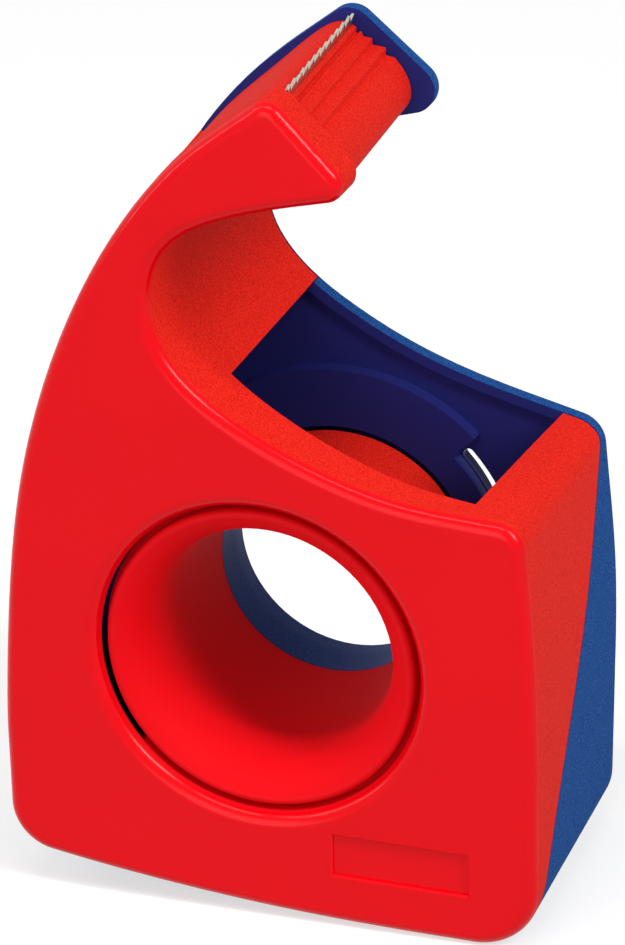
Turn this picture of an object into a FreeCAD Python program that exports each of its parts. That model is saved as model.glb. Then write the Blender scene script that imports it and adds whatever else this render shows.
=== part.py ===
import FreeCAD, Part
import math
import os
from FreeCAD import Vector

os.makedirs("parts", exist_ok=True)

# Handheld dispenser for 19 mm tape on a 26 mm core.
# Two moulded shells and a steel cutter strip.
# Drawn with the hub axis at X = 0, Z = 0 and the front face at Y = 0.
# The finished pieces are moved so that the origin is the middle of the roll.

# Body, over all
body_width = 51.9
body_height = 81.8

# Roll that the dispenser takes
tape_width = 19.0
core_bore_radius = 13.0
side_play = 1.3

# Shells
front_plate = 2.0
rear_plate = 1.8
wall = 1.6
front_edge_radius = 1.3
rear_edge_radius = 0.6
parting_gap = 0.2

# Hub, a tube of the front shell with a trumpet mouth
core_clearance = 0.4
bore_taper = 0.3
lip_roll = 3.1
lip_edge = 0.5
lip_slope = 25.0
lip_set_back = 1.0
flare_depth = 8.5
groove_width = 0.6
groove_depth = 2.8
groove_web = 1.2
recess_edge_radius = 1.4
hub_end_gap = 0.5
hub_lead_length = 0.8
hub_lead_drop = 0.4
seat_height = 0.9
seat_overhang = 1.0

# Curved slots beside the roll, in the groove's outer wall and in the rear plate
sight_slot_cover = 1.4
sight_slot_margin = 0.05
sight_slot_start = 136.0
sight_slot_end = 220.0
rear_slot_width = 1.1
rear_slot_inset = 1.8
rear_slot_start = -41.0
rear_slot_end = 41.5
ring_break_width = 3.0
ring_break_margin = 3.0

# Sleeve of the rear shell inside the hub, and the ring round the hub
spigot_length = 4.6
spigot_wall = 0.8
spigot_clearance = 0.1
ring_clearance = 0.3
ring_height = 1.0
ring_overhang = 3.2
rear_flare = 0.3
rear_flare_start = 0.1

# Recess in the inner side of the rear plate, and its rim along the window
plate_recess = 0.5
plate_rim = 1.0

# Diagonal joint, from the right shoulder at the rear to the foot at the front
parting_top_drop = 0.95
parting_bottom_drop = 1.1

# Window in the wall under the beak, with its front and rear ends in X
window_left = (-4.1, -3.9)
window_right = (20.2, 21.9)
window_front = (6.5, 3.6)
window_tilt = 39.0
window_hub_gap = 0.4
window_level = 25.2
window_high = 31.0

# Front wall's lap in a rebate of the rear plate, on the neck's mouth side
lap_width = 1.0
lap_skin = 0.7
lap_end_gap = 0.1
lap_right = -1.5
lap_left = -9.5
lap_top = 39.0

# Bay's end in the neck
neck_rise = 3.4
neck_right = 0.1
neck_left = 1.3
neck_radius = 2.0
least_radius = 0.4

# Head
rim_depth = 4.4
block_lean_x = 1.0
block_lean_z = 0.3
head_wall = 1.5
rib_rounding = 0.13

# Cutter strip, held in a slot of the head
blade_thickness = 0.4
blade_height = 5.2
blade_stand = 1.3
blade_lean = 20.0
blade_end_gap = 0.4
blade_side_gap = 0.02
tooth_pitch = 0.9
tooth_height = 0.6

# Blank plaque sunk in the front
plaque_width = 13.4
plaque_height = 4.5
plaque_edge = 0.18
plaque_depth = 0.4
plaque_tilt = -1.4
plaque_centre = (13.3, -18.9)

# Places that follow from the sizes above
hub_radius = core_bore_radius - core_clearance
bore_radius = hub_radius - wall
mouth_bore_radius = bore_radius + bore_taper
lip_radius = mouth_bore_radius + lip_roll + lip_edge
recess_radius = lip_radius + groove_width
web_face = groove_depth + groove_web
seat_face = web_face + seat_height
ring_face = seat_face + tape_width + side_play
rear_inside = ring_face + ring_height
depth = rear_inside + rear_plate
hub_end = rear_inside - hub_end_gap
plate_face = rear_inside + plate_recess
ring_radius = recess_radius + ring_overhang
rear_slot_radius = ring_radius - rear_slot_inset
sleeve_radius = bore_radius + spigot_wall
spigot_start = rear_inside - spigot_length
roll_middle = (seat_face + ring_face) / 2
big = 200.0
over = 1.0

# Corners, corner radii and the points of the side after each corner
front_outline = [
    ((-25.4, -21.9), 4.8, [(-19.5, -22.95), (-12.0, -24.1), (2.0, -25.58), (14.0, -26.18)]),
    ((26.3, -26.5), 6.2, [(26.5, -12.0), (26.5, 2.0)]),
    ((25.7, 16.5), 2.8, [
        (14.0, 17.6), (6.5, 19.8), (-0.9, 23.4), (-6.4, 27.9),
        (-8.9, 33.2), (-7.6, 39.2), (-2.5, 42.7), (4.5, 44.8),
    ]),
    ((11.4, 46.3), 1.8, []),
    ((3.1, 55.3), 2.0, [
        (-4.8, 49.2), (-11.7, 41.2), (-17.2, 31.4),
        (-21.4, 20.0), (-24.2, 5.0), (-25.3, -9.0),
    ]),
]
rear_outline = [
    ((-25.3, -21.7), 4.8, [(-19.5, -22.8), (-12.0, -24.0), (2.0, -25.5), (14.0, -26.1)]),
    ((25.5, -26.1), 5.3, [(26.0, -12.0), (26.2, 2.0)]),
    ((25.3, 15.35), 3.0, [
        (14.15, 18.55), (6.6, 21.5), (0.95, 24.7), (-4.15, 28.85),
        (-6.75, 33.6), (-6.2, 38.6), (-2.3, 42.3), (4.5, 43.8),
    ]),
    ((12.6, 45.8), 2.4, []),
    ((2.1, 55.1), 2.3, [
        (-4.9, 49.8), (-12.2, 42.4), (-17.6, 32.8),
        (-21.5, 21.0), (-24.2, 5.0), (-25.3, -9.0),
    ]),
]

# Section of the head behind its rim, at the rear plate
head_left_face = [(-13.9, 38.8), (-12.7, 40.9), (-9.2, 44.9), (-4.8, 48.8), (-1.1, 52.0), (0.6, 53.0), (1.6, 53.2)]
head_seat = (2.1, 53.0)
head_ribs = [
    (2.72, 52.7), (2.6, 51.8), (3.15, 52.45), (3.32, 51.85),
    (4.22, 51.74), (4.16, 51.12), (5.5, 50.94), (5.44, 50.22),
]
head_nose = [(6.3, 50.05), (7.1, 49.0), (7.7, 47.6), (7.75, 46.3), (7.1, 45.2)]
head_underside = [(3.0, 44.3), (-2.0, 43.6), (-8.0, 40.6)]
head_space = [
    (-15.0, 41.2), (-7.0, 60.0), (16.0, 60.0), (16.0, 42.0),
    (5.0, 42.0), (2.5, 46.0), (-3.0, 44.5), (-8.0, 41.2),
]
head_core = [
    (-9.6, 41.9), (-5.0, 46.2), (-1.8, 49.3), (-0.8, 48.0),
    (1.6, 46.9), (3.8, 48.8), (5.2, 48.0), (5.6, 46.6), (2.5, 45.8), (-4.0, 44.6),
]

# Ratios of the body to the drawn outlines
drawn = [p for outline in (front_outline, rear_outline) for s in outline for p in [s[0]] + s[2]]
stretch_x = body_width / (max(p[0] for p in drawn) - min(p[0] for p in drawn))
stretch_z = body_height / (max(p[1] for p in drawn) - min(p[1] for p in drawn))
parting_top = rear_outline[2][0][1] * stretch_z - parting_top_drop
parting_bottom = front_outline[0][0][1] * stretch_z - parting_bottom_drop


def at(point, y):
    """A point of a drawing placed at depth y."""
    return Vector(point[0] * stretch_x, y, point[1] * stretch_z)


def beside_seat(point, y):
    """A point at its drawn distance from the cutter's seat in the head."""
    seat = at(head_seat, y)
    return Vector(seat.x + point[0] - head_seat[0], y, seat.z + point[1] - head_seat[1])


def unit(vector):
    """The same direction with length one."""
    return vector * (1.0 / vector.Length)


def corner_arc(before, corner, after, radius, y):
    """Arc that rounds a corner, with its ends and directions."""
    c = at(corner, y)
    u = unit(at(before, y) - c)
    v = unit(at(after, y) - c)
    half = u.getAngle(v) / 2.0
    reach = radius / math.tan(half)
    middle = c + unit(u + v) * (radius / math.sin(half) - radius)
    arc = Part.Arc(c + u * reach, middle, c + v * reach).toShape()
    return {"start": c + u * reach, "end": c + v * reach, "into": u * -1.0, "out": v, "arc": arc}


def side(first, points, last, y):
    """Side between two rounded corners, straight if it has no points."""
    if not points:
        return Part.makeLine(first["end"], last["start"])
    through = [first["end"]] + [at(p, y) for p in points] + [last["start"]]
    curve = Part.BSplineCurve()
    curve.interpolate(Points=through, InitialTangent=first["out"], FinalTangent=last["into"], Scale=True)
    return curve.toShape()


def outline_wire(stations, y):
    """Closed outline at depth y."""
    count = len(stations)
    arcs = []
    for i, (corner, radius, points) in enumerate(stations):
        before = (stations[i - 1][2] or [stations[i - 1][0]])[-1]
        after = (points or [stations[(i + 1) % count][0]])[0]
        arcs.append(corner_arc(before, corner, after, radius, y))
    edges = []
    for i in range(count):
        following = arcs[(i + 1) % count]
        edges.append(side(arcs[i], stations[i][2], following, y))
        edges.append(following["arc"])
    return Part.Wire(edges)


def moved_inward(before, point, after, distance):
    """A point moved to the inner side of an outline that turns left."""
    u = unit(at(point, 0.0) - at(before, 0.0))
    v = unit(at(after, 0.0) - at(point, 0.0))
    normal = unit(Vector(-u.z, 0.0, u.x) + Vector(-v.z, 0.0, v.x))
    reach = distance / normal.dot(Vector(-u.z, 0.0, u.x))
    return (point[0] + normal.x * reach, point[1] + normal.z * reach)


def inset(stations, distance):
    """The same outline moved inward by a wall thickness."""
    chain = []
    for corner, radius, points in stations:
        chain.append(corner)
        chain += points
    inner = [
        moved_inward(chain[i - 1], chain[i], chain[(i + 1) % len(chain)], distance)
        for i in range(len(chain))
    ]
    result = []
    start = 0
    for corner, radius, points in stations:
        stop = start + 1 + len(points)
        result.append((inner[start], max(radius - distance, least_radius), inner[start + 1:stop]))
        start = stop
    return result


def bay_outline(stations):
    """The part of an outline below the neck, closed across the neck."""
    mouth = stations[2][2][:5]
    left = stations[4][2][2:]
    top = mouth[-1][1] + neck_rise
    right_end = ((mouth[-1][0] - neck_right, top), neck_radius, [])
    left_end = ((left[0][0] + neck_left, top), neck_radius, left)
    return stations[:2] + [(stations[2][0], stations[2][1], mouth), right_end, left_end]


def prism(points, y0, y1, lean=Vector(0, 0, 0)):
    """Solid between two depths from the corners of a section at depth y0."""
    face = Part.Face(Part.makePolygon([at(p, y0) for p in points + points[:1]]))
    return face.extrude(Vector(0, y1 - y0, 0) + lean)


def slab(y0, y1):
    """Everything between two depths."""
    return Part.makeBox(big, y1 - y0, big, Vector(-big / 2, y0, -big / 2))


def turned(section):
    """Solid turned about the hub axis from (radius, depth) points."""
    points = [Vector(r, y, 0) for r, y in section]
    face = Part.Face(Part.makePolygon(points + points[:1]))
    return face.revolve(Vector(0, 0, 0), Vector(0, 1, 0), 360)


def tube(outer, inner, y0, y1):
    """Plain ring about the hub axis."""
    return turned([(inner, y0), (outer, y0), (outer, y1), (inner, y1)])


def disc(radius, y0, y1):
    """Plain disc about the hub axis."""
    return Part.makeCylinder(radius, y1 - y0, Vector(0, y0, 0), Vector(0, 1, 0))


def whole_body():
    """Outer form of the closed dispenser."""
    front = outline_wire(front_outline, 0.0)
    rear = outline_wire(rear_outline, depth)
    body = Part.makeLoft([front, rear], True, True)
    body = body.makeFillet(front_edge_radius, [e for e in body.Edges if e.BoundBox.YMax < 0.01])
    return body.makeFillet(rear_edge_radius, [e for e in body.Edges if e.BoundBox.YMin > depth - 0.01])


def roll_bay(thickness, y0, y1):
    """Space for the roll between two depths, inside walls of a thickness."""
    front = outline_wire(inset(bay_outline(front_outline), thickness), 0.0)
    rear = outline_wire(inset(bay_outline(rear_outline), thickness), depth)
    return Part.makeLoft([front, rear], True, True).common(slab(y0, y1))


def front_side(gap):
    """Region in front of the diagonal joint, less a gap."""
    corners = [
        Vector(-big / 2, -over, -big / 2),
        Vector(-big / 2, front_plate - gap, -big / 2),
        Vector(-big / 2, front_plate - gap, parting_bottom),
        Vector(-big / 2, rear_inside - gap, parting_top),
        Vector(-big / 2, rear_inside - gap, big / 2),
        Vector(-big / 2, -over, big / 2),
    ]
    return Part.Face(Part.makePolygon(corners + corners[:1])).extrude(Vector(big, 0, 0))


def window():
    """Opening in the wall under the beak, cut square to the wall on its left."""
    tilt = math.tan(math.radians(window_tilt))
    low = hub_radius + window_hub_gap
    sections = []
    for end, y in ((0, front_plate), (1, depth)):
        left = at((window_left[end], window_level), y)
        right = at((window_right[end], window_high), y)
        corners = [
            Vector(left.x + (low - left.z) * tilt, y, low),
            Vector(right.x, y, low),
            right,
            Vector(left.x + (right.z - left.z) * tilt, y, right.z),
        ]
        sections.append(Part.makePolygon(corners + corners[:1]))
    opening = Part.makeLoft(sections, True, True)
    left = at((window_left[0], window_level), window_front[0])
    right = at((window_right[0], window_level), window_front[1])
    slant = (right.y - left.y) / (right.x - left.x)
    corners = [
        Vector(-big / 2, left.y + (-big / 2 - left.x) * slant, -big / 2),
        Vector(big / 2, left.y + (big / 2 - left.x) * slant, -big / 2),
        Vector(big / 2, big, -big / 2),
        Vector(-big / 2, big, -big / 2),
    ]
    behind = Part.Face(Part.makePolygon(corners + corners[:1])).extrude(Vector(0, 0, big))
    return opening.common(behind)


def neck_lap(gap):
    """Edge of the neck where the front wall laps over the rear plate, grown by a gap."""
    y0 = rear_inside - over
    core = Part.Face(outline_wire(inset(rear_outline, lap_width + gap), y0)).extrude(Vector(0, big, 0))
    low = at((lap_left, window_level), y0)
    high = at((lap_right, lap_top), depth - lap_skin)
    size = high - low + Vector(0, gap, gap)
    return Part.makeBox(size.x, size.y, size.z, low).cut(core)


def trumpet_void():
    """Recess, groove, trumpet mouth and bore, as the space to take away."""
    sleeve_seat = sleeve_radius + spigot_clearance
    lip_turn = math.radians(90.0 + lip_slope)
    lip_points = [
        Vector(
            lip_radius - lip_edge + lip_edge * math.cos(lip_turn * share),
            lip_set_back + lip_edge - lip_edge * math.sin(lip_turn * share),
            0,
        )
        for share in (0.0, 0.5, 1.0)
    ]
    edge = Part.Arc(*lip_points).toShape()
    mouth = Vector(mouth_bore_radius, lip_set_back + flare_depth, 0)
    flare = Part.BSplineCurve()
    flare.interpolate(
        Points=[lip_points[2], mouth],
        InitialTangent=Vector(-math.sin(lip_turn), -math.cos(lip_turn), 0),
        FinalTangent=unit(Vector(bore_radius, spigot_start, 0) - mouth),
        Scale=True,
    )
    roll = flare.toShape()
    rim = Part.Arc(
        Vector(recess_radius + recess_edge_radius, 0, 0),
        Vector(
            recess_radius + recess_edge_radius * (1 - math.sin(math.pi / 4)),
            recess_edge_radius * (1 - math.cos(math.pi / 4)),
            0,
        ),
        Vector(recess_radius, recess_edge_radius, 0),
    ).toShape()
    first = [
        mouth,
        Vector(bore_radius, spigot_start, 0),
        Vector(sleeve_seat, spigot_start, 0),
        Vector(sleeve_seat, depth, 0),
        Vector(0, depth, 0),
        Vector(0, -over, 0),
        Vector(recess_radius + recess_edge_radius, -over, 0),
        Vector(recess_radius + recess_edge_radius, 0, 0),
    ]
    second = [
        Vector(recess_radius, recess_edge_radius, 0),
        Vector(recess_radius, groove_depth, 0),
        Vector(lip_radius, groove_depth, 0),
        Vector(lip_radius, lip_set_back + lip_edge, 0),
    ]
    edges = Part.makePolygon(first).Edges + [rim] + Part.makePolygon(second).Edges + [edge, roll]
    section = Part.Face(Part.Wire(Part.__sortEdges__(edges)))
    return section.revolve(Vector(0, 0, 0), Vector(0, 1, 0), 360)


def sector(inner, outer, start, end, y0, y1):
    """Part of a ring about the hub axis, between two angles."""
    section = [Vector(inner, y0, 0), Vector(outer, y0, 0), Vector(outer, y1, 0), Vector(inner, y1, 0)]
    face = Part.Face(Part.makePolygon(section + section[:1]))
    face.rotate(Vector(0, 0, 0), Vector(0, -1, 0), start)
    return face.revolve(Vector(0, 0, 0), Vector(0, -1, 0), end - start)


def rear_slot():
    """Round-ended slot in the rear plate."""
    inner = rear_slot_radius - rear_slot_width
    middle = rear_slot_radius - rear_slot_width / 2
    slot = sector(inner, rear_slot_radius, rear_slot_start, rear_slot_end, rear_inside, depth)
    for angle in (rear_slot_start, rear_slot_end):
        t = math.radians(angle)
        foot = Vector(middle * math.cos(t), rear_inside, middle * math.sin(t))
        slot = slot.fuse(Part.makeCylinder(rear_slot_width / 2, depth - rear_inside, foot, Vector(0, 1, 0)))
    return slot


def head_lean():
    """Offset of the head block's front end from its rear end."""
    return Vector(block_lean_x, 0, block_lean_z)


def blade_axes():
    """Foot of the cutter strip at the rear and its three directions."""
    along = unit(Vector(block_lean_x, rim_depth - rear_inside, block_lean_z))
    tilt = math.radians(blade_lean)
    up = Vector(math.sin(tilt), 0, math.cos(tilt))
    up = unit(up - along * up.dot(along))
    across = along.cross(up)
    return along, up, across


def blade_blank(gap, top):
    """Flat strip in the slot of the head, with a gap on each side."""
    along, up, across = blade_axes()
    length = (rear_inside - rim_depth) / abs(along.y)
    thickness = blade_thickness + 2 * gap
    foot = at(head_seat, rear_inside) - up * (blade_height - blade_stand + gap) - across * (thickness / 2)
    corners = [foot, foot + along * length]
    corners += [corners[1] + up * (top + gap), foot + up * (top + gap)]
    return Part.Face(Part.makePolygon(corners + corners[:1])).extrude(across * thickness)


def curve(points):
    """Smooth edge through points."""
    spline = Part.BSplineCurve()
    spline.interpolate(Points=points)
    return spline.toShape()


def head_block():
    """Inset head behind the rim, with its rounded ribs and its hollow core."""
    y = rear_inside - parting_gap
    left = [at(p, y) for p in head_left_face]
    ribs = [beside_seat(p, y) for p in head_ribs]
    nose = [beside_seat(p, y) for p in head_nose]
    top = Part.makePolygon([left[-1], at(head_seat, y)] + ribs + nose[:1]).Edges
    under = Part.makePolygon(nose[-1:] + [at(p, y) for p in head_underside] + left[:1]).Edges
    section = Part.Face(Part.Wire([curve(left)] + top + [curve(nose)] + under))
    run = Vector(0, rim_depth - wall / 2 - y, 0) + head_lean()
    block = section.extrude(run)
    long = [
        e for e in block.Edges
        if e.Length > run.Length * 0.99 and min((v.Point - q).Length for v in e.Vertexes for q in ribs) < 0.001
    ]
    block = block.makeFillet(rib_rounding, long)
    core = prism(head_core, rear_inside, rim_depth + head_wall, head_lean())
    return block.cut(core)


def plaque_section(grow, y):
    """Rectangle of the plaque at depth y, grown on each side."""
    middle = at(plaque_centre, y)
    half_width = plaque_width / 2 + grow
    half_height = plaque_height / 2 + grow
    signs = [(-1, -1), (1, -1), (1, 1), (-1, 1), (-1, -1)]
    return Part.makePolygon([middle + Vector(u * half_width, 0, v * half_height) for u, v in signs])


def plaque():
    """Space of the sunk plaque, with a chamfered edge."""
    foot = plaque_section(-plaque_edge, plaque_edge)
    edge = Part.makeLoft([plaque_section(plaque_edge, -plaque_edge), foot], True, True)
    panel = edge.fuse(Part.Face(foot).extrude(Vector(0, plaque_depth - plaque_edge, 0)))
    panel.rotate(at(plaque_centre, 0.0), Vector(0, -1, 0), plaque_tilt)
    return panel


def hub():
    """Round hub with a lead-in at its end."""
    return turned([
        (0, web_face),
        (hub_radius, web_face),
        (hub_radius, hub_end - hub_lead_length),
        (hub_radius - hub_lead_drop, hub_end),
        (0, hub_end),
    ])


def front_shell(body):
    """Front plate, upper walls, head and hub, in one moulding."""
    shell = body.cut(roll_bay(wall, front_plate, rear_inside)).common(front_side(parting_gap))
    shell = shell.cut(prism(head_space, rim_depth, depth))
    shell = shell.fuse(head_block())
    shell = shell.fuse(body.common(neck_lap(0.0)))
    shell = shell.cut(window())
    shell = shell.fuse(disc(recess_radius + wall, front_plate - sight_slot_margin, web_face))
    shell = shell.fuse(disc(core_bore_radius + seat_overhang, web_face, seat_face))
    shell = shell.fuse(hub())
    shell = shell.cut(trumpet_void())
    shell = shell.cut(sector(
        recess_radius - sight_slot_margin, recess_radius + wall + sight_slot_margin,
        sight_slot_start, sight_slot_end, sight_slot_cover, web_face,
    ))
    shell = shell.cut(blade_blank(blade_side_gap, blade_height + over))
    return shell.cut(plaque()).removeSplitter()


def rear_shell(body):
    """Rear plate with its ring and sleeve, and the lower walls."""
    opening = window()
    shell = body.cut(roll_bay(wall, front_plate, plate_face)).cut(front_side(0.0))
    shell = shell.cut(roll_bay(plate_rim, rear_inside, plate_face).common(opening))
    tilt = math.radians(window_tilt)
    opening.translate(Vector(math.cos(tilt), 0, -math.sin(tilt)) * lap_end_gap)
    shell = shell.cut(neck_lap(parting_gap).cut(opening))
    shell = shell.fuse(tube(ring_radius, hub_radius + ring_clearance, ring_face, plate_face))
    shell = shell.fuse(tube(sleeve_radius, bore_radius, spigot_start + spigot_clearance, plate_face))
    flare = [
        (0, spigot_start),
        (bore_radius, spigot_start),
        (bore_radius, ring_face),
        (bore_radius + rear_flare_start, rear_inside),
        (bore_radius + rear_flare, depth),
        (bore_radius + rear_flare, depth + over),
        (0, depth + over),
    ]
    shell = shell.cut(turned(flare))
    shell = shell.cut(sector(
        ring_radius - ring_break_width, ring_radius + over,
        rear_slot_start - ring_break_margin, rear_slot_end + ring_break_margin, ring_face - over, plate_face,
    ))
    return shell.cut(rear_slot()).removeSplitter()


def cutter_blade():
    """Steel strip with a toothed edge."""
    along, up, across = blade_axes()
    blank = blade_blank(0.0, blade_height)
    length = (rear_inside - rim_depth) / abs(along.y)
    crown = at(head_seat, rear_inside) + up * blade_stand - across * blade_thickness
    teeth = int(length / tooth_pitch)
    for i in range(teeth + 1):
        left = crown + along * (tooth_pitch * i)
        right = left + along * tooth_pitch
        valley = left + along * (tooth_pitch / 2) - up * tooth_height
        notch = Part.Face(Part.makePolygon([left, valley, right, right + up, left + up, left]))
        blank = blank.cut(notch.extrude(across * (2 * blade_thickness)))
    return blank.common(slab(rim_depth + blade_end_gap, rear_inside - blade_end_gap))


def main():
    body = whole_body()
    pieces = {
        "front_shell": front_shell(body),
        "rear_shell": rear_shell(body),
        "cutter_blade": cutter_blade(),
    }
    for name, shape in pieces.items():
        solids = shape.Solids
        print(name, shape.isValid(), len(solids), [round(s.Volume, 1) for s in solids])
        shape.translate(Vector(0, -roll_middle, 0))
        shape.exportStep("parts/" + name + ".step")


main()
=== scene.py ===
import bmesh
import bpy
import math
from bpy.props import FloatProperty, FloatVectorProperty, PointerProperty, StringProperty
from mathutils import Matrix, Vector
from mathutils.bvhtree import BVHTree


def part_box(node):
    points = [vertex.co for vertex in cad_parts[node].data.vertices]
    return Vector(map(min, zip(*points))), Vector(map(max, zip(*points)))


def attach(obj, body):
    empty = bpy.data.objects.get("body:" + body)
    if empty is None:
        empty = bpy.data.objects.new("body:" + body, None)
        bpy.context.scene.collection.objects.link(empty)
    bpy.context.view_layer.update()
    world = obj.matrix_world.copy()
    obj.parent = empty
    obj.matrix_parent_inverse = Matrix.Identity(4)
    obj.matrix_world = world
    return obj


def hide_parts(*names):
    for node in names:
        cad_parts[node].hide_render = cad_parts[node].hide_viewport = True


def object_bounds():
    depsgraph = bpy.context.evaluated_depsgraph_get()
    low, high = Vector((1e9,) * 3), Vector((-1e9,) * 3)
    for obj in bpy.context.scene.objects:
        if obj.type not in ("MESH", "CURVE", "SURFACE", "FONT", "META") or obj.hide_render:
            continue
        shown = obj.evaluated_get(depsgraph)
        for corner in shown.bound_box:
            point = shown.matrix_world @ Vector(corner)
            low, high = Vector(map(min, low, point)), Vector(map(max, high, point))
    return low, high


bl_info = {
    "name": "Handheld Tape Dispenser",
    "version": (1, 0, 0),
    "blender": (4, 5, 0),
    "location": "View3D > Sidebar > Dispenser",
    "description": "Dresses a two-shell handheld tape dispenser and its cutter",
    "category": "Object",
}

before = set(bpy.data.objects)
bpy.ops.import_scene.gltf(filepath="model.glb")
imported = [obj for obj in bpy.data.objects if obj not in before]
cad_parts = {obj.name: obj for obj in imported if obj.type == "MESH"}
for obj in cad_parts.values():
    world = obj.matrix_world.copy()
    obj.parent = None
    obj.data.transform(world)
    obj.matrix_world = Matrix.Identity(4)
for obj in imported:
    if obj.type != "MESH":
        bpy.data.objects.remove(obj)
cad_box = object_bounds()

MM = 0.001

# Corners closer than this are one, and an edge bent by more than this is sharp
WELD_DISTANCE = 0.0005 * MM
SHARP_ANGLE = math.radians(38.0)

# A face counts as flat where its normal has this share along the hub
FLAT_COSINE = 0.9

# The middle of a noise pattern, where nearly all of its values lie
NOISE_LOW, NOISE_HIGH = 0.3, 0.7

# Widths and depths of the patterns
GRAIN_DEPTH = 0.03 * MM
COLOUR_DRIFT = 15.0 * MM
STEEL_LINE_WIDTH = 0.12 * MM
STEEL_LINE_DEPTH = 0.01 * MM
STEEL_LINE_STRETCH = (1.0, 0.04, 1.0)
PAPER_FIBRE_WIDTH = 2.0 * MM
PAPER_FIBRE_DEPTH = 0.05 * MM

# Floor and camera, in metres but for the sensor, which is in millimetres
FLOOR_HALF = 4.0
SENSOR_WIDTH = 36.0
CLIP_START, CLIP_END = 0.01, 20.0

# Each lamp's name, place from the object's middle, width and height in metres, and watts
LAMPS = (
    ("top strip", (0.0, -0.25, 0.8), 0.5, 0.03, 1.6),
    ("upper right strip", (0.55, -0.25, 0.6), 0.03, 0.45, 1.2),
    ("upper left strip", (-0.55, -0.25, 0.6), 0.03, 0.45, 1.0),
    ("left strip", (-0.72, -0.2, 0.3), 0.04, 0.5, 0.8),
    ("right softbox", (0.6, -0.25, 0.5), 0.14, 0.4, 3.1),
    ("front fill", (-0.2, -1.0, 0.3), 0.8, 0.8, 4.8),
)


# Colours and node helpers

def linear(hex_colour):
    """Turns an sRGB hex value into linear RGBA."""
    channels = [int(hex_colour[i:i + 2], 16) / 255 for i in (1, 3, 5)]
    return [c / 12.92 if c <= 0.04045 else ((c + 0.055) / 1.055) ** 2.4 for c in channels] + [1.0]


def add_node(tree, kind, settings=None, inputs=None, links=None):
    """Adds a node with its settings, socket values and incoming links."""
    node = tree.nodes.new(kind)
    for name, value in (settings or {}).items():
        setattr(node, name, value)
    for name, value in (inputs or {}).items():
        node.inputs[name].default_value = value
    for name, source in (links or {}).items():
        tree.links.new(source, node.inputs[name])
    return node


def new_material(name):
    """An empty node material and its tree."""
    material = bpy.data.materials.new(name)
    material.use_nodes = True
    material.node_tree.nodes.clear()
    return material, material.node_tree


def scaled_colour(tree, hex_colour, scale):
    """A colour times a shade."""
    node = add_node(
        tree, "ShaderNodeVectorMath", {"operation": "SCALE"}, {0: linear(hex_colour)[:3]},
        {"Scale": scale},
    )
    return node.outputs["Vector"]


def fading(tree, depth, start, end):
    """A factor that falls softly from one to nothing between two depths."""
    node = add_node(
        tree, "ShaderNodeMapRange", {"interpolation_type": "SMOOTHSTEP"},
        {"From Min": start, "From Max": end, "To Min": 1.0, "To Max": 0.0}, {"Value": depth},
    )
    return node.outputs["Result"]


def moulded_plastic(name, polished_hex, pit_hex, spark_hex, specular, settings, front=None):
    """Moulded polystyrene: deep and smooth where polished, dull and speckled where spark-grained. The
    deep blue inside the rear shell is partly painted shade.
    """
    material, tree = new_material(name)
    place = add_node(tree, "ShaderNodeTexCoord")
    polish = add_node(tree, "ShaderNodeAttribute", {"attribute_name": "polish"}).outputs["Fac"]
    sheen = polish
    if front is not None:
        # Only the front shines, up to where its rounding turns into the walls.
        # The trumpet is smooth but dull.
        depth = add_node(tree, "ShaderNodeSeparateXYZ", links={0: place.outputs["Object"]}).outputs["Y"]
        sheen = fading(tree, depth, front + settings.shine_start * MM, front + settings.shine_end * MM)
        polish = add_node(
            tree, "ShaderNodeMath", {"operation": "MAXIMUM"}, links={0: sheen, 1: polish},
        ).outputs["Value"]
    # Spark grain, pits near 0.1 mm, drawn at 0.14 mm so that it shows.
    grain = add_node(
        tree, "ShaderNodeTexNoise", {"noise_dimensions": "3D"},
        {"Scale": 1.0 / (settings.grain_size * MM), "Detail": 1.0, "Roughness": 0.5},
        {"Vector": place.outputs["Object"]},
    )
    # Slow drift of the colour through the moulding.
    drift = add_node(
        tree, "ShaderNodeTexNoise", {"noise_dimensions": "3D"},
        {"Scale": 1.0 / COLOUR_DRIFT, "Detail": 1.0}, {"Vector": place.outputs["Object"]},
    )
    speckle = add_node(
        tree, "ShaderNodeMapRange", {}, {"From Min": NOISE_LOW, "From Max": NOISE_HIGH},
        {"Value": grain.outputs["Fac"]},
    )
    speckled = add_node(
        tree, "ShaderNodeMix", {"data_type": "RGBA"}, {"A": linear(pit_hex), "B": linear(spark_hex)},
        {"Factor": speckle.outputs["Result"]},
    )
    depth_of_colour = add_node(
        tree, "ShaderNodeMapRange", {},
        {"From Min": NOISE_LOW, "From Max": NOISE_HIGH, "To Min": 0.98, "To Max": 1.02},
        {"Value": drift.outputs["Fac"]},
    )
    # Polished faces take the deep colour; on the blue shell its darkness inside the shell is painted
    # shade.
    colour = add_node(
        tree, "ShaderNodeMix", {"data_type": "RGBA"}, None,
        {
            "Factor": polish,
            "A": speckled.outputs["Result"],
            "B": scaled_colour(tree, polished_hex, depth_of_colour.outputs["Result"]),
        },
    )
    rough = add_node(
        tree, "ShaderNodeMapRange", {},
        {"To Min": settings.grained_roughness, "To Max": settings.polished_roughness}, {"Value": sheen},
    )
    pits = add_node(tree, "ShaderNodeMapRange", {}, {"To Min": 0.5, "To Max": 0.0}, {"Value": polish})
    bump = add_node(
        tree, "ShaderNodeBump", {}, {"Distance": GRAIN_DEPTH},
        {"Height": grain.outputs["Fac"], "Strength": pits.outputs["Result"]},
    )
    shader = add_node(
        tree, "ShaderNodeBsdfPrincipled", {}, {"IOR": 1.55, "Specular IOR Level": specular},
        {
            "Base Color": colour.outputs["Result"],
            "Roughness": rough.outputs["Result"],
            "Normal": bump.outputs["Normal"],
        },
    )
    add_node(tree, "ShaderNodeOutputMaterial", links={"Surface": shader.outputs["BSDF"]})
    return material


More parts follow.
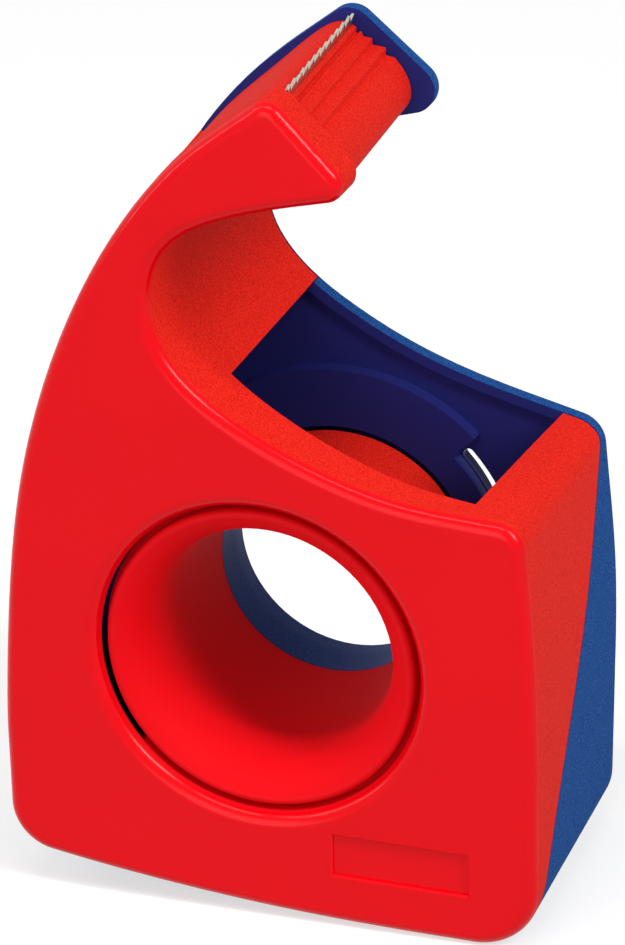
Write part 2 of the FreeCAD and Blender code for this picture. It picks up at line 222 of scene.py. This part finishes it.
def rolled_steel(name, settings):
    """Cold-rolled strip steel: a soft grey shine with fine lines along the strip."""
    material, tree = new_material(name)
    place = add_node(tree, "ShaderNodeTexCoord")
    # Rolling lines, stretched along the strip and 0.05 mm apart, drawn at 0.12 mm to show.
    stretch = add_node(
        tree, "ShaderNodeMapping", {}, {"Scale": STEEL_LINE_STRETCH},
        {"Vector": place.outputs["Object"]},
    )
    lines = add_node(
        tree, "ShaderNodeTexNoise", {}, {"Scale": 1.0 / STEEL_LINE_WIDTH, "Detail": 3.0},
        {"Vector": stretch.outputs["Vector"]},
    )
    shade = add_node(
        tree, "ShaderNodeMapRange", {},
        {"From Min": NOISE_LOW, "From Max": NOISE_HIGH, "To Min": 0.75, "To Max": 1.1},
        {"Value": lines.outputs["Fac"]},
    )
    rough = add_node(
        tree, "ShaderNodeMapRange", {}, {"To Min": 0.22, "To Max": 0.38},
        {"Value": lines.outputs["Fac"]},
    )
    bump = add_node(
        tree, "ShaderNodeBump", {}, {"Strength": 0.2, "Distance": STEEL_LINE_DEPTH},
        {"Height": lines.outputs["Fac"]},
    )
    shader = add_node(
        tree, "ShaderNodeBsdfPrincipled", {}, {"Metallic": 1.0},
        {
            "Base Color": scaled_colour(tree, settings.steel_colour, shade.outputs["Result"]),
            "Roughness": rough.outputs["Result"],
            "Normal": bump.outputs["Normal"],
        },
    )
    add_node(tree, "ShaderNodeOutputMaterial", links={"Surface": shader.outputs["BSDF"]})
    return material


def seamless_paper(name, settings):
    """White studio paper that stays white to the camera and keeps the shadow."""
    material, tree = new_material(name)
    place = add_node(tree, "ShaderNodeTexCoord")
    fibre = add_node(
        tree, "ShaderNodeTexNoise", {}, {"Scale": 1.0 / PAPER_FIBRE_WIDTH, "Detail": 3.0},
        {"Vector": place.outputs["Object"]},
    )
    bump = add_node(
        tree, "ShaderNodeBump", {}, {"Strength": 0.05, "Distance": PAPER_FIBRE_DEPTH},
        {"Height": fibre.outputs["Fac"]},
    )
    paper = add_node(
        tree, "ShaderNodeBsdfDiffuse", {}, {"Color": linear(settings.paper_colour)},
        {"Normal": bump.outputs["Normal"]},
    )
    glow = add_node(
        tree, "ShaderNodeEmission", {}, {"Color": (1, 1, 1, 1)},
        {"Strength": scaled_seen(tree, settings.paper_lift)},
    )
    total = add_node(
        tree, "ShaderNodeAddShader", links={0: paper.outputs["BSDF"], 1: glow.outputs["Emission"]},
    )
    add_node(tree, "ShaderNodeOutputMaterial", links={"Surface": total.outputs["Shader"]})
    return material


def scaled_seen(tree, strength, otherwise=0.0):
    """A strength for what is seen, directly or in a reflection, and another for what lights."""
    rays = add_node(tree, "ShaderNodeLightPath")
    seen = rays.outputs["Is Camera Ray"]
    for kind in ("Is Glossy Ray", "Is Transmission Ray"):
        seen = add_node(
            tree, "ShaderNodeMath", {"operation": "MAXIMUM"}, links={0: seen, 1: rays.outputs[kind]},
        ).outputs["Value"]
    level = add_node(
        tree, "ShaderNodeMapRange", {}, {"To Min": otherwise, "To Max": strength}, {"Value": seen},
    )
    return level.outputs["Result"]


# Mesh helpers

def finish_object(name, bm, material):
    """Makes an object at the origin from a bmesh, with one material."""
    mesh = bpy.data.meshes.new(name)
    bm.to_mesh(mesh)
    bm.free()
    mesh.materials.append(material)
    piece = bpy.data.objects.new(name, mesh)
    bpy.context.scene.collection.objects.link(piece)
    return piece


def merged_copy(node):
    """A bmesh of a node with its loose triangles joined and its sharp edges marked."""
    bm = bmesh.new()
    bm.from_mesh(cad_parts[node].data)
    bmesh.ops.remove_doubles(bm, verts=bm.verts, dist=WELD_DISTANCE)
    for face in bm.faces:
        face.smooth = True
    for edge in bm.edges:
        edge.smooth = len(edge.link_faces) == 2 and edge.calc_face_angle(0.0) < SHARP_ANGLE
    return bm


def mark_polish(bm, polished):
    """Marks how far the mould polished each face, for the material to read; on the blue shell this mark
    also lays painted shade.
    """
    layer = bm.faces.layers.float.new("polish")
    for face in bm.faces:
        face[layer] = float(polished(face.calc_center_median(), face.normal))


def even_normals(piece):
    """Keeps flat faces flat beside their roundings."""
    modifier = piece.modifiers.new("flat faces", "WEIGHTED_NORMAL")
    modifier.keep_sharp = True


def hand_over(piece, node, body):
    """Lets a piece stand for its node and ride on a body."""
    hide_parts(node)
    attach(piece, body)


# Settings

class DispenserShellSettings(bpy.types.PropertyGroup):
    red_polished: StringProperty(
        name="Polished red", description="Front face colour as sRGB hex",
        default="#E2000F",
    )
    red_pit: StringProperty(
        name="Red pits", description="Dark of the grained red as sRGB hex",
        default="#CE0200",
    )
    red_spark: StringProperty(
        name="Red sparks", description="Light of the grained red as sRGB hex",
        default="#F5301E",
    )
    # Darker than the grained blue: partly the smooth finish, partly painted shade inside the shell.
    blue_polish_and_shade: StringProperty(
        name="Polished blue", description="Smooth blue colour as sRGB hex",
        default="#262A70",
    )
    blue_pit: StringProperty(
        name="Blue pits", description="Dark of the grained blue as sRGB hex",
        default="#002F6E",
    )
    blue_spark: StringProperty(
        name="Blue sparks", description="Light of the grained blue as sRGB hex",
        default="#3064AC",
    )
    red_gloss: FloatProperty(
        name="Red gloss", description="Specular level of the red shell",
        default=0.12, min=0,
    )
    blue_gloss: FloatProperty(
        name="Blue gloss", description="Specular level of the blue shell",
        default=0.03, min=0,
    )
    grain_size: FloatProperty(
        name="Grain", description="Width of the spark grain in mm",
        default=0.14, min=0.05,
    )
    grained_roughness: FloatProperty(
        name="Grained roughness", description="Roughness of the walls",
        default=0.75,
    )
    polished_roughness: FloatProperty(
        name="Polished roughness", description="Roughness of the front",
        default=0.2,
    )
    shine_start: FloatProperty(
        name="Shine start", description="Depth behind the front where the shine starts to fade, in mm",
        default=0.7,
    )
    shine_end: FloatProperty(
        name="Shine end", description="Depth behind the front where the shine is gone, in mm",
        default=1.2,
    )
    trumpet_radius: FloatProperty(
        name="Trumpet", description="Radius of the smooth recess round the trumpet in mm",
        default=17.2,
    )
    recess_depth: FloatProperty(
        name="Recess", description="Depth of the smooth recess in mm",
        default=3.2,
    )
    hub_radius: FloatProperty(name="Hub", description="Outer radius of the hub in mm", default=12.6)
    # Gives the sleeve half the dark polished blue; the darker tone is partly painted shade in the hub's
    # bore.
    sleeve_polish_and_shade: FloatProperty(
        name="Sleeve polish", description="Share of the polish that the sleeve has",
        default=0.5,
    )
    ring_radius: FloatProperty(
        name="Ring", description="Radius of the smooth ring round the hub in mm",
        default=19.6,
    )


class DispenserCutterSettings(bpy.types.PropertyGroup):
    steel_colour: StringProperty(
        name="Steel", description="Steel colour as sRGB hex",
        default="#B4ADA0",
    )
    tooth_pitch: FloatProperty(
        name="Tooth pitch", description="Distance between teeth in mm",
        default=0.9, min=0.3,
    )
    tooth_set: FloatProperty(
        name="Tooth set", description="Sideways bend of the teeth in mm",
        default=0.07,
    )
    tooth_height: FloatProperty(
        name="Tooth height", description="Height over which the teeth are ground and set, in mm",
        default=0.45,
    )
    tooth_grind: FloatProperty(
        name="Tooth grind", description="Share of the thickness ground off the teeth",
        default=0.5,
    )


class DispenserStageSettings(bpy.types.PropertyGroup):
    paper_colour: StringProperty(
        name="Paper", description="Paper colour as sRGB hex",
        default="#B8B8B8",
    )
    paper_lift: FloatProperty(
        name="Paper lift", description="White added for the camera and reflections",
        default=0.6,
    )
    sky: FloatProperty(
        name="Sky", description="Strength of the even light from all round",
        default=0.24,
    )
    azimuth: FloatProperty(
        name="Azimuth", description="Camera azimuth",
        default=math.radians(19.91), unit="ROTATION",
    )
    elevation: FloatProperty(
        name="Elevation", description="Camera height",
        default=math.radians(24.44), unit="ROTATION",
    )
    roll: FloatProperty(
        name="Roll", description="Camera tilt",
        default=math.radians(-2.14), unit="ROTATION",
    )
    lens: FloatProperty(
        name="Lens", description="Focal length in mm on a 36 mm long side",
        default=199.83,
    )
    distance: FloatProperty(name="Distance", description="Camera distance in mm", default=467.5)
    target: FloatVectorProperty(
        name="Target", description="Point looked at, in mm",
        default=(6.26, -15.05, 20.0),
    )


# Operators

class DISPENSER_OT_front_shell(bpy.types.Operator):
    """Dress the red front shell with its trumpet hub, head and ribs"""
    bl_idname = "dispenser.front_shell"
    bl_label = "Front shell"

    def execute(self, context):
        settings = context.scene.dispenser_shells
        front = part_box("front_shell")[0].y
        bm = merged_copy("front_shell")

        def polished(centre, normal):
            radius = math.hypot(centre.x, centre.z)
            sunk = centre.y < front + settings.recess_depth * MM
            recess = sunk and radius < settings.trumpet_radius * MM
            inward = centre.x * normal.x + centre.z * normal.z < 0
            return recess or (inward and radius < settings.hub_radius * MM)

        mark_polish(bm, polished)
        red = moulded_plastic(
            "red polystyrene", settings.red_polished, settings.red_pit, settings.red_spark,
            settings.red_gloss, settings, front,
        )
        piece = finish_object("front_moulding", bm, red)
        even_normals(piece)
        hand_over(piece, "front_shell", "front")
        return {"FINISHED"}


class DISPENSER_OT_rear_shell(bpy.types.Operator):
    """Dress the blue rear shell with its ring and sleeve"""
    bl_idname = "dispenser.rear_shell"
    bl_label = "Rear shell"

    def execute(self, context):
        settings = context.scene.dispenser_shells
        bm = merged_copy("rear_shell")
        surface = BVHTree.FromBMesh(bm)

        # Faces with shell behind them, in the ring and facing along the hub take the dark polished
        # blue, which is partly painted shade inside the shell.
        def polished(centre, normal):
            radius = math.hypot(centre.x, centre.z)
            flat = abs(normal.y) > FLAT_COSINE
            # The sleeve deep in the bore takes half the dark blue, partly painted shade.
            if radius < settings.hub_radius * MM and not flat:
                return settings.sleeve_polish_and_shade
            shaded_before_plate = surface.ray_cast(centre + normal * MM, Vector((0, 1, 0)))[0] is not None
            return shaded_before_plate or radius < settings.ring_radius * MM or flat

        mark_polish(bm, polished)
        blue = moulded_plastic(
            "blue polystyrene", settings.blue_polish_and_shade, settings.blue_pit, settings.blue_spark,
            settings.blue_gloss, settings,
        )
        piece = finish_object("rear_moulding", bm, blue)
        even_normals(piece)
        hand_over(piece, "rear_shell", "rear")
        return {"FINISHED"}


class DISPENSER_OT_cutter(bpy.types.Operator):
    """Dress the toothed steel strip, grind its teeth and set them to alternate sides"""
    bl_idname = "dispenser.cutter"
    bl_label = "Cutter"

    def execute(self, context):
        settings = context.scene.dispenser_cutter
        bm = merged_copy("cutter_blade")
        widest = max(bm.faces, key=lambda face: face.calc_area())
        across = widest.normal.copy()
        middle = sum((v.co for v in bm.verts), Vector()) / len(bm.verts)
        rear = max(v.co.y for v in bm.verts)
        crest = max(v.co.z for v in bm.verts)
        for v in bm.verts:
            if v.co.z > crest - settings.tooth_height * MM:
                tooth = round((rear - v.co.y) / (settings.tooth_pitch * MM))
                v.co -= across * across.dot(v.co - middle) * settings.tooth_grind
                v.co += across * settings.tooth_set * MM * (1 if tooth % 2 else -1)
        steel = rolled_steel("rolled strip steel", settings)
        piece = finish_object("cutter_strip", bm, steel)
        even_normals(piece)
        hand_over(piece, "cutter_blade", "front")
        return {"FINISHED"}


class DISPENSER_OT_stage(bpy.types.Operator):
    """Set up the paper floor, the soft lamps and the camera"""
    bl_idname = "dispenser.stage"
    bl_label = "Stage"

    def execute(self, context):
        settings = context.scene.dispenser_stage
        scene = context.scene
        low, high = cad_box
        bm = bmesh.new()
        bmesh.ops.create_grid(bm, x_segments=1, y_segments=1, size=FLOOR_HALF)
        bmesh.ops.translate(bm, verts=bm.verts, vec=(0, 0, low.z))
        floor = finish_object("paper_floor", bm, seamless_paper("white paper", settings))

        world = bpy.data.worlds.new("studio")
        scene.world = world
        world.use_nodes = True
        tree = world.node_tree
        tree.nodes.clear()
        sky = add_node(
            tree, "ShaderNodeBackground", {}, {"Color": (1, 1, 1, 1)},
            {"Strength": scaled_seen(tree, 1.0, settings.sky)},
        )
        add_node(tree, "ShaderNodeOutputWorld", links={"Surface": sky.outputs["Background"]})

        middle = (low + high) / 2
        for name, place, width, height, watts in LAMPS:
            lamp = bpy.data.lights.new(name, "AREA")
            lamp.shape = "RECTANGLE"
            lamp.size, lamp.size_y = width, height
            lamp.energy = watts
            holder = bpy.data.objects.new(name, lamp)
            scene.collection.objects.link(holder)
            holder.location = middle + Vector(place)
            holder.rotation_euler = (middle - holder.location).to_track_quat("-Z", "Y").to_euler()

        a, e, r = settings.azimuth, settings.elevation, settings.roll
        back = Vector((math.sin(a) * math.cos(e), -math.cos(a) * math.cos(e), math.sin(e)))
        right = Vector((math.cos(a), math.sin(a), 0))
        up = back.cross(right)
        side = right * math.cos(r) + up * math.sin(r)
        top = up * math.cos(r) - right * math.sin(r)
        data = bpy.data.cameras.new("photo view")
        data.lens = settings.lens
        data.sensor_width = SENSOR_WIDTH
        data.clip_start, data.clip_end = CLIP_START, CLIP_END
        camera = bpy.data.objects.new("photo view", data)
        scene.collection.objects.link(camera)
        turn = Matrix((side, top, back)).transposed().to_4x4()
        spot = Vector(settings.target) * MM + back * settings.distance * MM
        camera.matrix_world = Matrix.Translation(spot) @ turn
        scene.camera = camera
        scene.view_settings.view_transform = "Standard"
        return {"FINISHED"}


class DISPENSER_PT_panel(bpy.types.Panel):
    bl_label = "Tape dispenser"
    bl_idname = "DISPENSER_PT_panel"
    bl_space_type = "VIEW_3D"
    bl_region_type = "UI"
    bl_category = "Dispenser"

    def draw(self, context):
        column = self.layout.column()
        for piece in OPERATORS:
            column.operator(piece.bl_idname)
        scene = context.scene
        for group in (scene.dispenser_shells, scene.dispenser_cutter, scene.dispenser_stage):
            box = self.layout.box()
            for name in group.bl_rna.properties.keys():
                if name not in ("rna_type", "name"):
                    box.prop(group, name)


OPERATORS = (
    DISPENSER_OT_front_shell,
    DISPENSER_OT_rear_shell,
    DISPENSER_OT_cutter,
    DISPENSER_OT_stage,
)
SETTINGS = (DispenserShellSettings, DispenserCutterSettings, DispenserStageSettings)


def register():
    for cls in SETTINGS + OPERATORS + (DISPENSER_PT_panel,):
        bpy.utils.register_class(cls)
    bpy.types.Scene.dispenser_shells = PointerProperty(type=DispenserShellSettings)
    bpy.types.Scene.dispenser_cutter = PointerProperty(type=DispenserCutterSettings)
    bpy.types.Scene.dispenser_stage = PointerProperty(type=DispenserStageSettings)


def unregister():
    for name in ("dispenser_shells", "dispenser_cutter", "dispenser_stage"):
        delattr(bpy.types.Scene, name)
    for cls in reversed(SETTINGS + OPERATORS + (DISPENSER_PT_panel,)):
        bpy.utils.unregister_class(cls)


def main():
    """Builds every piece in order."""
    register()
    bpy.ops.dispenser.front_shell()
    bpy.ops.dispenser.rear_shell()
    bpy.ops.dispenser.cutter()
    bpy.ops.dispenser.stage()


if __name__ == "__main__":
    main()
